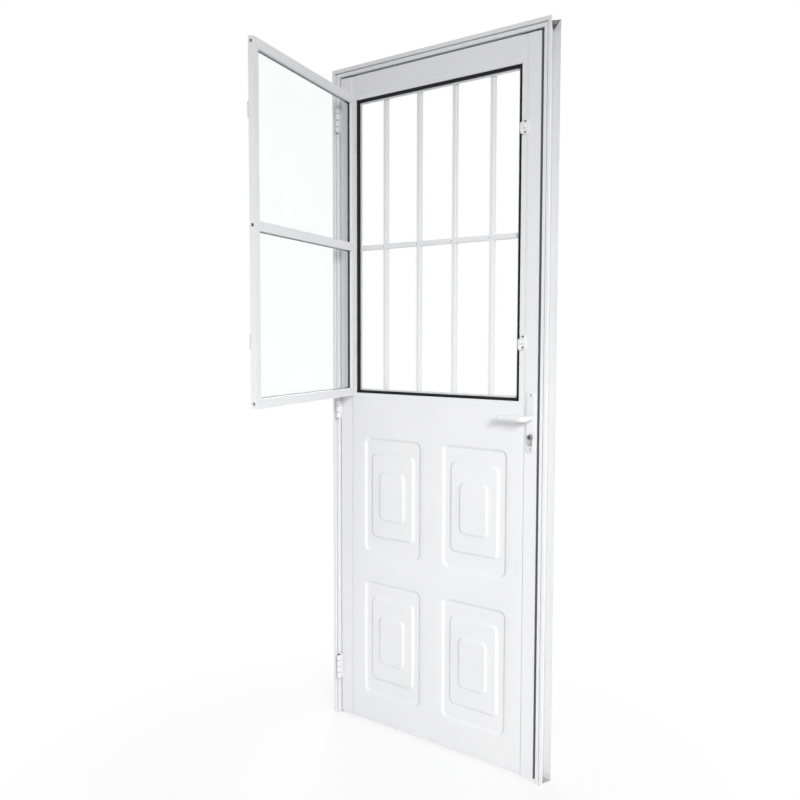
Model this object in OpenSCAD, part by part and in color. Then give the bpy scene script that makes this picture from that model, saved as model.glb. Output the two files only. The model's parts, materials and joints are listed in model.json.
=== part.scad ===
// Aluminium entrance door: frame, hinged leaf with a barred window, and an inward opening glazed sash.
// Lengths are in millimetres. The inside of the room is at -Y, and the floor is at z = 0.

/* [Frame] */
// Overall width of the frame
frame_w = 800; // [700:1:1000]
// Overall height of the frame
frame_h = 2100; // [2040:1:2300]
// Depth of the frame, from the room side to the street side
frame_d = 50; // [48:1:70]
// Width of the frame's face, as seen from the room
frame_face = 25; // [22:1:40]
// Wall thickness of the frame's extrusion
frame_wall = 1.6; // [1.2:0.1:2]
// Width of the set-back bead along the inner edge of the frame's face
bead_w = 13; // [8:1:14]
// Depth of that bead
bead_d = 3; // [2:0.5:4]
// Width of the groove along that bead's outer edge
groove_w = 2; // [1:0.5:3]
// Depth of that groove below the bead
groove_d = 3; // [1:0.5:3]
// Radius of the rounded edges of the frame's extrusion
frame_edge_r = 2; // [0.5:0.1:2.4]
// How far the stop stands out behind the leaf
stop_w = 14; // [12:1:16]
// Radius of the holes for the wall anchors
anchor_r = 4; // [3:0.5:5]
// Height of the lowest wall anchor
anchor_low_z = 260; // [240:5:320]
// Distance from the frame's top down to the highest wall anchor
anchor_top_drop = 280; // [240:5:320]
// Distance between the two middle wall anchors
anchor_mid_span = 560; // [480:10:600]

/* [Leaf] */
// Thickness of the leaf
leaf_t = 32; // [30:1:36]
// How far the leaf's front lies behind the frame's front
leaf_setback = 9; // [8:0.5:11]
// Gap between the leaf and the frame, at the sides and the top
leaf_gap = 5; // [5:0.5:7]
// Gap between the leaf and the floor
floor_gap = 10; // [5:1:15]
// Width of the stiles
stile_w = 64; // [60:1:70]
// Height of the top rail
top_rail_h = 74; // [60:1:90]
// Height of the middle rail under the window
mid_rail_h = 63; // [50:1:70]
// Height of the bottom rail
bottom_rail_h = 50; // [40:1:60]
// Width of the set-back band along the inner edge of stiles and top rail
band_w = 18; // [14:1:22]
// Wall thickness of the leaf's tubes
tube_wall = 1.6; // [1.2:0.1:2]

/* [Pressed panel] */
// Thickness of the pressed sheet, and depth of the band that it lies in
sheet_t = 1.5; // [1:0.1:2]
// Width of the lip of the middle rail that shows above the panel
sill_lip = 10; // [6:1:16]
// Width of a pressed field
field_w = 228; // [200:1:235]
// Height of a pressed field
field_h = 370; // [300:1:380]
// Distance between the fields' centres, across
field_pitch_x = 310; // [300:1:320]
// Distance between the fields' centres, up
field_pitch_z = 464; // [400:1:470]
// Height of the lower fields' centres above the floor
field_low_z = 286; // [280:1:300]
// Width of the sunk ring inside a field, across
ring_w = 35; // [25:1:40]
// Height of the sunk ring inside a field, up
ring_h = 57; // [40:1:62]
// Depth of the sunk ring
ring_depth = 5; // [3:0.5:6]
// Rise of the innermost raised block
block_rise = 4; // [2:0.5:5]
// Width of the slopes between the levels
slope_w = 9; // [6:0.5:11]
// Corner radius of the fields
field_r = 12; // [6:1:14]

/* [Window] */
// Height of the window's sill above the floor
sill_z = 1073; // [1060:1:1080]
// Thickness of the window surround's walls
surround_t = 1.6; // [1.2:0.1:2]
// How far the surround's lip stands into the window
lip_w = 14.4; // [12:0.2:16]
// Thickness of that lip
lip_t = 2; // [1.5:0.1:3]
// Width of the black gasket on the lip
gasket_w = 8.5; // [7:0.5:11]
// Height of that gasket
gasket_h = 9.6; // [8:0.2:9.8]

/* [Grille] */
// Width of the grille's upright bars
bar_w = 14; // [10:0.5:16]
// Distance between the upright bars
bar_pitch = 132; // [110:1:140]
// Height of the cross bar
cross_h = 15; // [12:0.5:18]
// Depth of the cross bar
cross_d = 17.5; // [16.5:0.5:18]
// Corner radius of the bars
bar_r = 2; // [1:0.5:3]

/* [Sash] */
// Thickness of the sash
sash_t = 16; // [14:0.5:18]
// Width of the sash's members
sash_face = 25; // [22:0.5:30]
// How far the sash reaches past the window's edge at its top and bottom
sash_lap = 6; // [3:0.5:8]
// How far the sash reaches past the window's edge at its sides
sash_side_lap = 0.5; // [0:0.1:1]
// How far the sash stands open, in degrees
sash_open = 72; // [0:1:100]
// Wall thickness of the sash's members
sash_wall = 1.6; // [1.2:0.1:2]
// Thickness of the panes
glass_t = 4; // [3:0.5:5]
// Depth of the panes behind the sash's outer face
glass_inset = 9; // [7.5:0.5:9]
// Depth of the groove that holds the panes
groove_d = 8; // [6:0.5:9]
// Thickness of the glazing gasket on each side of the panes
glaze_t = 1; // [0.5:0.1:1.5]
// Radius of the access holes in the free edge of the sash
access_r = 4.5; // [4:0.5:5.5]

/* [Door hinges] */
// Radius of the door hinges' knuckles
knuckle_r = 7; // [6:0.5:7]
// Height of one knuckle
knuckle_h = 18; // [14:1:20]
// Radius of the hinge pins
pin_r = 3; // [2.5:0.5:3.5]
// Thickness of the hinge wings
wing_t = 2; // [1.5:0.1:2.2]
// Depth of the hinge wings behind the pin
wing_d = 36; // [30:1:38]
// Distance from the frame's top down to the top hinge's centre
hinge_top_drop = 160; // [140:1:180]
// Height of the middle hinge's centre
hinge_mid_z = 1028; // [980:1:1060]
// Height of the bottom hinge's centre
hinge_low_z = 162; // [140:1:180]

/* [Lock set] */
// Distance from the leaf's edge to the lever's axis
backset = 25; // [24:0.5:27]
// Height of the lever's axis
lever_z = 1029; // [1020:1:1040]
// Distance from the lever's axis down to the key cylinder
key_drop = 52; // [50:1:56]
// Width of the handle's backplate
plate_w = 26; // [24:1:28]
// Height of the handle's backplate
plate_h = 173; // [165:1:185]
// Thickness of the backplate
plate_t = 4; // [3:0.5:5]
// How far the key cylinder stands out of the backplate
cyl_proud = 4; // [0:0.5:6]
// Length of the lever, from its axis to its tip
lever_l = 85; // [70:1:100]
// Distance of the lever from the backplate
lever_reach = 34; // [30:1:45]
// How far the latch bolt stands out of the leaf's edge
latch_throw = 11; // [10:0.5:12]

/* [Sash latches] */
// Distance from the sash's top down to the upper latch
latch_top_drop = 179; // [150:1:200]
// Distance from the window's sill up to the lower latch
latch_low_rise = 166; // [140:1:200]
// Width of a latch's base
base_w = 18; // [16:0.5:19]
// Height of a latch's base
base_h = 44; // [38:1:50]
// Thickness of a latch's base
base_t = 4; // [3:0.5:5]
// Length of the latch's lever
catch_l = 22; // [19:0.5:24]
// Rise of the keepers on the sash
keeper_rise = 5; // [4:0.5:6]
// Height of the keepers
keeper_h = 40; // [30:1:44]

/* [Hidden] */
$fn = 48;
white = [0.93, 0.93, 0.92];
offwhite = [0.87, 0.88, 0.88];
black = [0.05, 0.05, 0.05];
steel = [0.72, 0.73, 0.75];
brass = [0.78, 0.66, 0.38];
glass = [0.85, 0.92, 0.93, 0.35];
// Overrun of every cut
over = 1;
// Clearance of pieces that are pushed into each other
push_fit = 0.1;
// Running clearance of a pin, all round
run_fit = 0.05;
// Clearance between pieces that pass each other
clear = 0.3;

// Places of the frame, from the middle of the door, the frame's front and the floor
web_x = frame_w / 2 - frame_face;
head_z = frame_h - frame_face;
leaf_back = leaf_setback + leaf_t;
stop_y = leaf_back + bead_d;
foot_x = web_x + frame_wall / 2;
foot_y = frame_d / 2;
anchor_span = frame_h - anchor_top_drop - anchor_low_z;
anchor_mid_z = anchor_low_z + anchor_span / 2;
seal_w = 8;
cleat_leg = 80;
cleat_t = 3;
cleat_w = 30;

// Places of the leaf
leaf_x = web_x - leaf_gap;
leaf_top = head_z - leaf_gap;
stile_x = leaf_x - stile_w;
rail_z = leaf_top - top_rail_h;
band_x = stile_x + band_w;
band_y = leaf_setback + sheet_t;
band_back = leaf_back - sheet_t;
panel_top = sill_z - sill_lip;
window_mid = (sill_z + rail_z) / 2;

// Places of the window's pieces
surround_x = stile_x - surround_t;
lip_y = band_y + gasket_h - push_fit;
gasket_chamfer = gasket_w / 5;
cross_y = lip_y + lip_t + clear;
bar_y = cross_y + cross_d / 2;
bar_wall = 1.5;

// Places of the sash, shut
sash_x = stile_x + sash_side_lap;
sash_top = rail_z + sash_lap;
sash_low = sill_z - sash_lap;
sash_mid = (sash_top + sash_low) / 2;
sash_back = band_y - clear - push_fit;
sash_front = sash_back - sash_t;
pane_gap = 1.5;
pane_seat = groove_d - pane_gap;
sash_axis_out = 5.4;
sash_axis_in = 1.4;
sash_axis_x = -sash_x - sash_axis_out;
sash_axis_y = sash_front + sash_axis_in;
small_knuckle_r = 4.5;
small_knuckle_h = 20;
small_pin_r = 2;
small_head_r = 3;
small_wing_t = 1.5;
small_wing_w = 22;
sash_hinge_share = 0.16;
sash_screw_l = 30;
sash_screw_r = 2;
sash_head_h = 2.5;

// Places of the door hinges
hinge_x = -(web_x - leaf_gap / 2);
hinge_y = bead_d - knuckle_r - clear * 2;
knuckle_gap = 1.6;
hinge_n = 4;
hinge_h = hinge_n * knuckle_h + (hinge_n - 1) * knuckle_gap;
hinge_zs = [hinge_low_z, hinge_mid_z, frame_h - hinge_top_drop];
wing_start = knuckle_r + clear * 2;
pin_head_h = 2.5;
pin_head_r = 4.8;
screw_r = 1.7;
head_r = 3.4;
head_h = 1.2;
screw_l = 9;
hinge_screw_share = 0.3;
wing_screw_share = 0.6;

// Places of the lock
lock_x = leaf_x - backset;
lock_y = leaf_setback + leaf_t / 2;
key_z = lever_z - key_drop;
plate_drop_share = 0.055;
plate_z = lever_z - plate_h * plate_drop_share;
plate_screw_off = 8;
plate_screw_r = 2;
plate_head_r = 4;
plate_head_h = 1.5;
hub_r = 8;
spindle_w = 8;
spindle_share = 0.7;
neck_r = 9;
lobe_r = 17.5;
lobe_w = 5;
lug_lift = 12;
latch_w = 12;
latch_h = 16;
latch_rise = 28;
latch_z = lever_z + latch_rise;
latch_l = 43.5;
bevel_share = 0.7;
dead_rise = 22;
dead_z = key_z + dead_rise;
dead_l = 44;
cyl_r = 8.5;
cyl_tail_w = 10;
cyl_tail_h = 24.5;
cyl_l = leaf_t + (plate_t + cyl_proud) * 2;
plug_r = 6;
key_w = 2;
key_h = 8;
key_depth = 12;
cam_r = 12.5;
cam_t = 6;
cam_w = 7;
cam_room = 1.5;
cam_seat_share = 0.6;
case_back = 48;
case_t = 17;
case_wall = 1.5;
case_head = 18.6;
case_top = latch_z + latch_h / 2 + case_wall + case_head;
case_low = key_z - cyl_tail_h - case_wall - clear;
face_w = 20;
face_h = 180;
face_z = (case_top + case_low) / 2;
strike_h = 130;
strike_w = 26;
strike_t = 1.5;
strike_screw_share = 0.42;
lever_r = 9;
lever_tip_r = 7;
lever_t = 12;
lever_bow = 3;
lever_mid_r = 8.1;

// Places of the sash latches
base_edge = 2.4;
catch_x = sash_x + base_w / 2 + base_edge;
latch_low_z = sill_z + latch_low_rise;
latch_top_z = sash_top - latch_top_drop;
catch_zs = [latch_low_z, latch_top_z];
catch_front = sash_front - keeper_rise - clear;
catch_t = 3;
catch_w = 9;
catch_rib_w = 3.6;
catch_pin_r = 2.5;
post_r = 5;
base_screw_r = 1.6;
base_head_r = 2.8;
base_screw_share = 0.34;
catch_screw_l = base_t + sheet_t + tube_wall * 3;
keeper_w = 13;
keeper_inset = 2.5;
ramp_share = 0.35;

// Moves the door from its middle to the foot of the hinge jamb, which is the origin
module in_place() {
    translate([foot_x, -foot_y, 0]) children();
}

// A box between two corners
module box(low, high) {
    translate(low) cube(high - low);
}

// A cylinder along X or Y, from its start
module rod_x(l, r) {
    rotate([0, 90, 0]) cylinder(h = l, r = r);
}
module rod_y(l, r) {
    rotate([-90, 0, 0]) cylinder(h = l, r = r);
}

// A flat with round ends, upright in the XZ plane, starting at y = 0
module flat_oval(w, h, t) {
    rotate([-90, 0, 0]) linear_extrude(t) {
        square([w, h - w], center = true);
        for (s = [-1, 1]) translate([0, s * (h - w) / 2]) circle(d = w);
    }
}

// Section of the frame: across from the inner edge, then back from the front
module frame_section() {
    w = frame_wall;
    foot = bead_d + groove_d;
    difference() {
        offset(r = frame_edge_r, $fn = 16) offset(delta = -frame_edge_r)
            polygon([[-stop_w, stop_y], [-stop_w, frame_d], [frame_face, frame_d], [frame_face, 0],
                [bead_w, 0], [bead_w, foot], [bead_w - groove_w, foot], [bead_w - groove_w, bead_d],
                [0, bead_d], [0, stop_y]]);
        polygon([[frame_face + over, frame_d - w], [w - stop_w, frame_d - w], [w - stop_w, stop_y + w],
            [w, stop_y + w], [w, bead_d + w], [bead_w - groove_w - w, bead_d + w],
            [bead_w - groove_w - w, foot + w], [bead_w + w, foot + w], [bead_w + w, w],
            [frame_face + over, w]]);
    }
}

// Wedge on one side of the right-hand corner's mitre, through the frame's depth
module mitre_wedge(side) {
    reach = frame_face * 4;
    translate([web_x, frame_d + over, head_z]) rotate([90, 0, 0]) linear_extrude(frame_d + over * 2)
        polygon([[-reach, -reach], [reach, reach], [-side * reach, side * reach]]);
}

// A jamb on the right-hand side, with its wall anchor holes
module plain_jamb() {
    difference() {
        translate([web_x, 0, 0]) linear_extrude(frame_h) frame_section();
        mitre_wedge(1);
        for (s = [-1, 1], span = [anchor_span, anchor_mid_span])
            translate([web_x - over, lock_y, anchor_mid_z + s * span / 2])
                rod_x(frame_wall + over * 2, anchor_r);
    }
}

module frame_hinge_jamb() {
    color(white) difference() {
        mirror([1, 0, 0]) plain_jamb();
        hinge_screw_places(-web_x) mirror([1, 0, 0]) translate([-over, 0, 0])
            rod_x(frame_wall + over * 2, screw_r + push_fit);
    }
}

module frame_lock_jamb() {
    color(white) difference() {
        plain_jamb();
        bolt_slots(web_x, frame_wall);
        strike_screw_places() translate([-over, 0, 0])
            rod_x(strike_t + frame_wall + over * 2, screw_r + push_fit);
    }
}

module frame_head() {
    color(white) difference() {
        translate([-frame_w / 2, 0, head_z]) rotate([90, 0, 90]) linear_extrude(frame_w)
            rotate(90) mirror([0, 1]) frame_section();
        for (s = [0, 1]) mirror([s, 0, 0]) mitre_wedge(-1);
    }
}

// Angle plates inside the frame's two upper corners
module frame_corner_cleats() {
    corner = [web_x + frame_wall, lock_y, head_z + frame_wall];
    color(steel) for (s = [0, 1]) mirror([s, 0, 0]) translate(corner) {
        box([0, -cleat_w / 2, -cleat_leg], [cleat_t, cleat_w / 2, cleat_t]);
        box([-cleat_leg, -cleat_w / 2, 0], [0, cleat_w / 2, cleat_t]);
    }
}

// Rubber strips on the stop, which the leaf shuts against
module frame_seal() {
    front = leaf_back + clear;
    edge = web_x - bead_d;
    top = head_z - leaf_gap;
    color(black) {
        for (s = [0, 1]) mirror([s, 0, 0])
            box([edge - seal_w, front, 0], [edge, stop_y, top - seal_w - clear]);
        box([-edge, front, top - seal_w], [edge, stop_y, top]);
    }
}

// Slots for the latch bolt and the dead bolt, through a wall from x
module bolt_slots(x, t) {
    room = clear * 2;
    for (z = [latch_z, dead_z])
        box([x - over, lock_y - latch_w / 2 - room, z - latch_h / 2 - room],
            [x + t + over, lock_y + latch_w / 2 + room, z + latch_h / 2 + room]);
}

module strike_screw_places() {
    mid = (latch_z + dead_z) / 2;
    for (s = [-1, 1])
        translate([web_x - strike_t, lock_y, mid + s * strike_h * strike_screw_share]) children();
}

module strike_plate() {
    mid = (latch_z + dead_z) / 2;
    color(steel) difference() {
        translate([web_x, lock_y, mid]) rotate([0, 0, 90]) flat_oval(strike_w, strike_h, strike_t);
        bolt_slots(web_x - strike_t, strike_t);
        strike_screw_places() translate([-over, 0, 0]) rod_x(strike_t + over * 2, screw_r + push_fit);
        strike_screw_places() translate([-over, 0, 0]) rod_x(head_h + over, head_r + push_fit);
    }
}

// A screw along X with a flat head, from the head's outer face
module screw_x(l) {
    rod_x(head_h, head_r);
    rod_x(l, screw_r);
}

module strike_screws() {
    color(steel) strike_screw_places() screw_x(screw_l);
}

// Places of the screws in the hinge wings, on the plane at x
module hinge_screw_places(x) {
    for (z = hinge_zs, s = [-1, 1])
        translate([x, hinge_y + wing_d * wing_screw_share, z + s * hinge_h * hinge_screw_share]) children();
}

// One half of the door's hinges: a wing in the gap, and every second knuckle
module hinge_half(z, wing_x, first) {
    step = knuckle_h + knuckle_gap;
    translate([hinge_x, hinge_y, z - hinge_h / 2]) difference() {
        union() {
            box([wing_x, wing_start, 0], [wing_x + wing_t, wing_d, hinge_h]);
            for (k = [first : 2 : hinge_n - 1]) translate([0, 0, k * step]) {
                cylinder(h = knuckle_h, r = knuckle_r);
                box([wing_x, 0, 0], [wing_x + wing_t, wing_start, knuckle_h]);
            }
        }
        translate([0, 0, -over]) cylinder(h = hinge_h + over * 2, r = pin_r + run_fit);
    }
}

module hinge_frame_halves() {
    color(offwhite) difference() {
        for (z = hinge_zs) hinge_half(z, -leaf_gap / 2, 0);
        hinge_screw_places(-web_x) translate([-over, 0, 0]) rod_x(wing_t + over * 2, screw_r + push_fit);
        hinge_screw_places(-web_x) translate([wing_t - head_h, 0, 0]) rod_x(head_h + over, head_r + push_fit);
    }
}

module hinge_leaf_halves() {
    color(offwhite) difference() {
        for (z = hinge_zs) hinge_half(z, leaf_gap / 2 - wing_t, 1);
        hinge_screw_places(-leaf_x - wing_t) translate([-over, 0, 0])
            rod_x(wing_t + over * 2, screw_r + push_fit);
        hinge_screw_places(-leaf_x - wing_t) translate([-over, 0, 0]) rod_x(head_h + over, head_r + push_fit);
    }
}

module hinge_pins() {
    color(steel) for (z = hinge_zs) translate([hinge_x, hinge_y, z - hinge_h / 2]) {
        cylinder(h = hinge_h + clear, r = pin_r);
        translate([0, 0, hinge_h + clear]) cylinder(h = pin_head_h, r1 = pin_head_r, r2 = pin_r);
        translate([0, 0, -pin_head_h]) cylinder(h = pin_head_h, r1 = pin_r, r2 = pin_head_r);
    }
}

module hinge_frame_screws() {
    color(steel) hinge_screw_places(-web_x + wing_t) mirror([1, 0, 0]) screw_x(screw_l);
}

module hinge_leaf_screws() {
    color(steel) hinge_screw_places(-leaf_x - wing_t) screw_x(screw_l);
}

// Section of a leaf member: across from its inner edge, then back from its front
module leaf_section(w) {
    t = tube_wall;
    difference() {
        polygon([[0, sheet_t], [band_w, sheet_t], [band_w, 0], [w, 0], [w, leaf_t], [band_w, leaf_t],
            [band_w, leaf_t - sheet_t], [0, leaf_t - sheet_t]]);
        translate([t, sheet_t + t]) square([w - t * 2, leaf_t - sheet_t * 2 - t * 2]);
    }
}

// A stile on the right-hand side
module plain_stile() {
    translate([stile_x, leaf_setback, floor_gap]) linear_extrude(leaf_top - floor_gap) leaf_section(stile_w);
}

module leaf_hinge_stile() {
    color(white) difference() {
        mirror([1, 0, 0]) plain_stile();
        hinge_screw_places(-leaf_x) translate([-over, 0, 0]) rod_x(tube_wall + over * 2, screw_r + push_fit);
    }
}

module leaf_lock_stile() {
    color(white) difference() {
        plain_stile();
        faceplate_blank(push_fit, over);
        lock_holes(leaf_setback - over, leaf_t + over * 2, clear, clear);
        latch_screw_places(catch_zs) rod_y(catch_screw_l + over, base_screw_r + push_fit);
    }
}

module leaf_top_rail() {
    color(white) translate([-stile_x, leaf_setback, rail_z]) rotate([90, 0, 90]) linear_extrude(stile_x * 2)
        rotate(90) mirror([0, 1]) leaf_section(top_rail_h);
}

// A plain tube between the stiles, behind the panels
module leaf_tube(low, high) {
    t = tube_wall;
    difference() {
        box([-stile_x, band_y, low], [stile_x, band_back, high]);
        box([-stile_x - over, band_y + t, low + t], [stile_x + over, band_back - t, high - t]);
    }
}

module leaf_mid_rail() {
    color(white) leaf_tube(sill_z - mid_rail_h, sill_z);
}

module leaf_bottom_rail() {
    color(white) leaf_tube(floor_gap, floor_gap + bottom_rail_h);
}

// A rounded rectangle in the XZ plane, as a thin slice at depth y
module slice(w, h, y, r) {
    thin = push_fit / 10;
    translate([0, y, 0]) rotate([90, 0, 0]) linear_extrude(thin, center = true) {
        square([w - r * 2, h], center = true);
        square([w, h - r * 2], center = true);
        for (i = [-1, 1], j = [-1, 1]) translate([i * (w / 2 - r), j * (h / 2 - r)]) circle(r = r, $fn = 20);
    }
}

// A block with sloping sides between two depths
module sloped(w, h, y0, y1, spread, r) {
    hull() {
        slice(w, h, y0, r);
        slice(w + spread * 2, h + spread * 2, y1, r + spread / 2);
    }
}

// The panel's outside as a thick slab: sunk rings, and raised blocks inside them
module panel_slab(grow, depth) {
    mid_w = field_w - ring_w * 2;
    mid_h = field_h - ring_h * 2;
    in_w = mid_w - ring_w * 2;
    in_h = mid_h - ring_h * 2;
    difference() {
        box([-band_x - grow, 0, floor_gap - grow], [band_x + grow, depth, panel_top + grow]);
        field_places() difference() {
            sloped(field_w - slope_w * 2, field_h - slope_w * 2, ring_depth, 0, slope_w, field_r);
            sloped(mid_w, mid_h, 0, ring_depth, slope_w, field_r);
        }
    }
    field_places() sloped(in_w, in_h, -block_rise, over, slope_w, field_r);
}

module field_places() {
    for (i = [-1, 1], j = [0, 1])
        translate([i * field_pitch_x / 2, 0, field_low_z + j * field_pitch_z]) children();
}

// A pressed sheet of even thickness, its face at y = 0
module pressed_panel() {
    depth = ring_depth * 3;
    difference() {
        panel_slab(0, depth);
        translate([0, sheet_t, 0]) panel_slab(over, depth);
    }
}

module panel_inside() {
    color(white) translate([0, leaf_setback, 0]) pressed_panel();
}

module panel_outside() {
    color(white) translate([0, leaf_back, 0]) mirror([0, 1, 0]) pressed_panel();
}

// Right-hand upright of the window surround, with its lip cut short for the lips above and below
module surround_side() {
    box([surround_x, band_y, sill_z], [stile_x, band_back, rail_z]);
    box([surround_x - lip_w, lip_y, sill_z + surround_t + lip_w],
        [surround_x, lip_y + lip_t, rail_z - surround_t - lip_w]);
}

module surround_right() {
    color(white) surround_side();
}

module surround_left() {
    color(white) mirror([1, 0, 0]) surround_side();
}

module surround_top() {
    color(white) {
        box([-surround_x, band_y, rail_z - surround_t], [surround_x, band_back, rail_z]);
        box([-surround_x, lip_y, rail_z - surround_t - lip_w],
            [surround_x, lip_y + lip_t, rail_z - surround_t]);
    }
}

module surround_bottom() {
    top = sill_z + surround_t;
    color(white) {
        box([-surround_x, band_y, sill_z], [surround_x, band_back, top]);
        box([-surround_x, lip_y, top], [surround_x, lip_y + lip_t, top + lip_w]);
    }
}

// Section of the black gasket: out from the surround's wall, then back from its face
module gasket_section() {
    c = gasket_chamfer;
    polygon([[0, c], [c, 0], [gasket_w - c, 0], [gasket_w, c], [gasket_w, gasket_h - push_fit * 2],
        [0, gasket_h - push_fit * 2]]);
}

module window_gasket() {
    face = lip_y - gasket_h + push_fit * 2;
    low = sill_z + surround_t;
    high = rail_z - surround_t;
    color(black) {
        for (s = [0, 1]) mirror([s, 0, 0]) translate([surround_x, face, low + gasket_w])
            linear_extrude(high - low - gasket_w * 2) mirror([1, 0]) gasket_section();
        translate([-surround_x, face, low]) rotate([90, 0, 90]) linear_extrude(surround_x * 2)
            rotate(90) mirror([0, 1]) gasket_section();
        translate([-surround_x, face, high]) rotate([90, 0, 90]) linear_extrude(surround_x * 2)
            rotate(-90) gasket_section();
    }
}

// A square with rounded corners
module soft_square(w, d, r) {
    square([w - r * 2, d], center = true);
    square([w, d - r * 2], center = true);
    for (i = [-1, 1], j = [-1, 1]) translate([i * (w / 2 - r), j * (d / 2 - r)]) circle(r = r);
}

// One upright bar of the grille, a square tube
module grille_bar(k) {
    low = sill_z + surround_t;
    color(white) translate([(k - 1.5) * bar_pitch, bar_y, low]) linear_extrude(rail_z - surround_t - low)
        difference() {
            soft_square(bar_w, bar_w, bar_r);
            soft_square(bar_w - bar_wall * 2, bar_w - bar_wall * 2, bar_r / 2);
        }
}

// The cross bar, pierced for the uprights
module grille_cross_bar() {
    hole = bar_w + push_fit * 2;
    color(white) difference() {
        translate([-surround_x, bar_y, window_mid]) rotate([90, 0, 90]) linear_extrude(surround_x * 2)
            difference() {
                soft_square(cross_d, cross_h, bar_r);
                square([cross_d - bar_wall * 2, cross_h - bar_wall * 2], center = true);
            }
        for (k = [0 : 3]) translate([(k - 1.5) * bar_pitch, bar_y, window_mid])
            linear_extrude(cross_h + over * 2, center = true) soft_square(hole, hole, bar_r);
    }
}

// Outline of the key cylinder, as a length along Y: a barrel with a straight tail below
module cylinder_outline(l, grow) {
    rod_y(l, cyl_r + grow);
    box([-cyl_tail_w / 2 - grow, 0, -cyl_tail_h - grow], [cyl_tail_w / 2 + grow, l, 0]);
}

// Holes for the lever, the key cylinder and the plate's screws, from depth y
module lock_holes(y, l, neck_grow, grow) {
    translate([lock_x, y, lever_z]) rod_y(l, neck_r + neck_grow);
    translate([lock_x, y, key_z]) cylinder_outline(l, grow);
    plate_screw_places() translate([0, y, 0]) rod_y(l, plate_screw_r + grow);
}

module plate_screw_places() {
    for (z = [case_low - plate_screw_off, case_top + plate_screw_off]) translate([lock_x, 0, z]) children();
}

// The faceplate's blank, and with growth its seat in the stile
module faceplate_blank(grow, extra) {
    box([leaf_x - tube_wall - extra, lock_y - face_w / 2 - grow, face_z - face_h / 2 - grow],
        [leaf_x + extra, lock_y + face_w / 2 + grow, face_z + face_h / 2 + grow]);
}

module lock_faceplate() {
    color(steel) difference() {
        faceplate_blank(0, 0);
        bolt_slots(leaf_x - tube_wall, tube_wall);
    }
}

module lock_case() {
    side = case_t / 2 - case_wall;
    color(steel) difference() {
        box([leaf_x - case_back, lock_y - case_t / 2, case_low],
            [leaf_x - tube_wall, lock_y + case_t / 2, case_top]);
        box([leaf_x - case_back + case_wall, lock_y - side, case_low + case_wall],
            [leaf_x + over, lock_y + side, case_top - case_wall]);
        translate([lock_x, lock_y - case_t, lever_z]) rod_y(case_t * 2, hub_r + run_fit);
        translate([lock_x, lock_y - case_t, key_z]) cylinder_outline(case_t * 2, push_fit);
    }
}

// Hub that the spindle turns, with the lobe that draws the latch bolt back
module lock_follower() {
    l = case_t - clear * 2;
    hole = spindle_w / 2 + run_fit;
    color(steel) translate([lock_x, lock_y, lever_z]) difference() {
        union() {
            translate([0, -l / 2, 0]) rod_y(l, hub_r);
            box([-lobe_w / 2, -latch_w / 2, 0], [lobe_w / 2, latch_w / 2, lobe_r]);
        }
        box([-hole, -l, -hole], [hole, l, hole]);
    }
}

module spindle() {
    half = spindle_w / 2;
    reach = plate_t + lever_reach * spindle_share;
    color(steel) translate([lock_x, 0, lever_z])
        box([-half, leaf_setback - reach, -half], [half, leaf_back + reach, half]);
}

// Latch bolt: a block with a bevelled nose, and a lug for the follower
module latch_bolt() {
    nose = leaf_x + latch_throw;
    lug = lock_x - lobe_w / 2 - clear;
    color(steel) {
        translate([nose, lock_y, latch_z - latch_h / 2]) linear_extrude(latch_h)
            polygon([[-latch_l, -latch_w / 2], [0, -latch_w / 2], [0, -latch_w / 3],
                [-latch_throw * bevel_share, latch_w / 2], [-latch_l, latch_w / 2]]);
        box([lug - lobe_w, lock_y - latch_w / 2, lever_z + lug_lift],
            [lug, lock_y + latch_w / 2, latch_z - latch_h / 2]);
    }
}

module dead_bolt() {
    color(steel) box([leaf_x - clear - dead_l, lock_y - latch_w / 2, dead_z - latch_h / 2],
        [leaf_x - clear, lock_y + latch_w / 2, dead_z + latch_h / 2]);
}

module key_cylinder() {
    gap = cam_t / 2 + clear;
    front = lock_y - cyl_l / 2;
    color(brass) difference() {
        translate([lock_x, front, key_z]) cylinder_outline(cyl_l, 0);
        translate([lock_x, front - over, key_z]) rod_y(cyl_l + over * 2, plug_r + run_fit);
        box([lock_x - cam_r, lock_y - gap, key_z - cam_r - cam_room],
            [lock_x + cam_r, lock_y + gap, key_z + cam_r]);
    }
}

// Plug of the cylinder with a keyway at each end, and the cam that throws the dead bolt
module key_plug() {
    color(brass) translate([lock_x, lock_y, key_z]) {
        difference() {
            translate([0, -cyl_l / 2, 0]) rod_y(cyl_l, plug_r);
            for (s = [-1, 1]) translate([0, s * cyl_l / 2, 0])
                cube([key_w, key_depth * 2, key_h], center = true);
        }
        box([-cam_w / 2, -cam_t / 2, cam_w / 2 - cam_r], [cam_w / 2, cam_t / 2, -plug_r * cam_seat_share]);
        translate([0, -cam_t / 2, cam_w / 2 - cam_r]) rod_y(cam_t, cam_w / 2);
    }
}

// Backplate on the room side, with sunk screw heads
module backplate(heads) {
    color(white) difference() {
        translate([lock_x, leaf_setback - plate_t, plate_z]) flat_oval(plate_w, plate_h, plate_t);
        lock_holes(leaf_setback - plate_t - over, plate_t + over * 2, run_fit, push_fit);
        if (heads) plate_screw_places() translate([0, leaf_setback - plate_t - over, 0])
            rod_y(plate_head_h + over, plate_head_r + push_fit);
    }
}

// Turns a piece of the room side round to the street side
module street_side() {
    translate([0, lock_y * 2, 0]) mirror([0, 1, 0]) children();
}

module backplate_inside() {
    backplate(true);
}

module backplate_outside() {
    street_side() backplate(false);
}

module backplate_screws() {
    color(steel) plate_screw_places() translate([0, leaf_setback - plate_t, 0]) {
        rod_y(plate_head_h, plate_head_r);
        rod_y(leaf_t + plate_t + plate_t / 2, plate_screw_r);
    }
}

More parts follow.
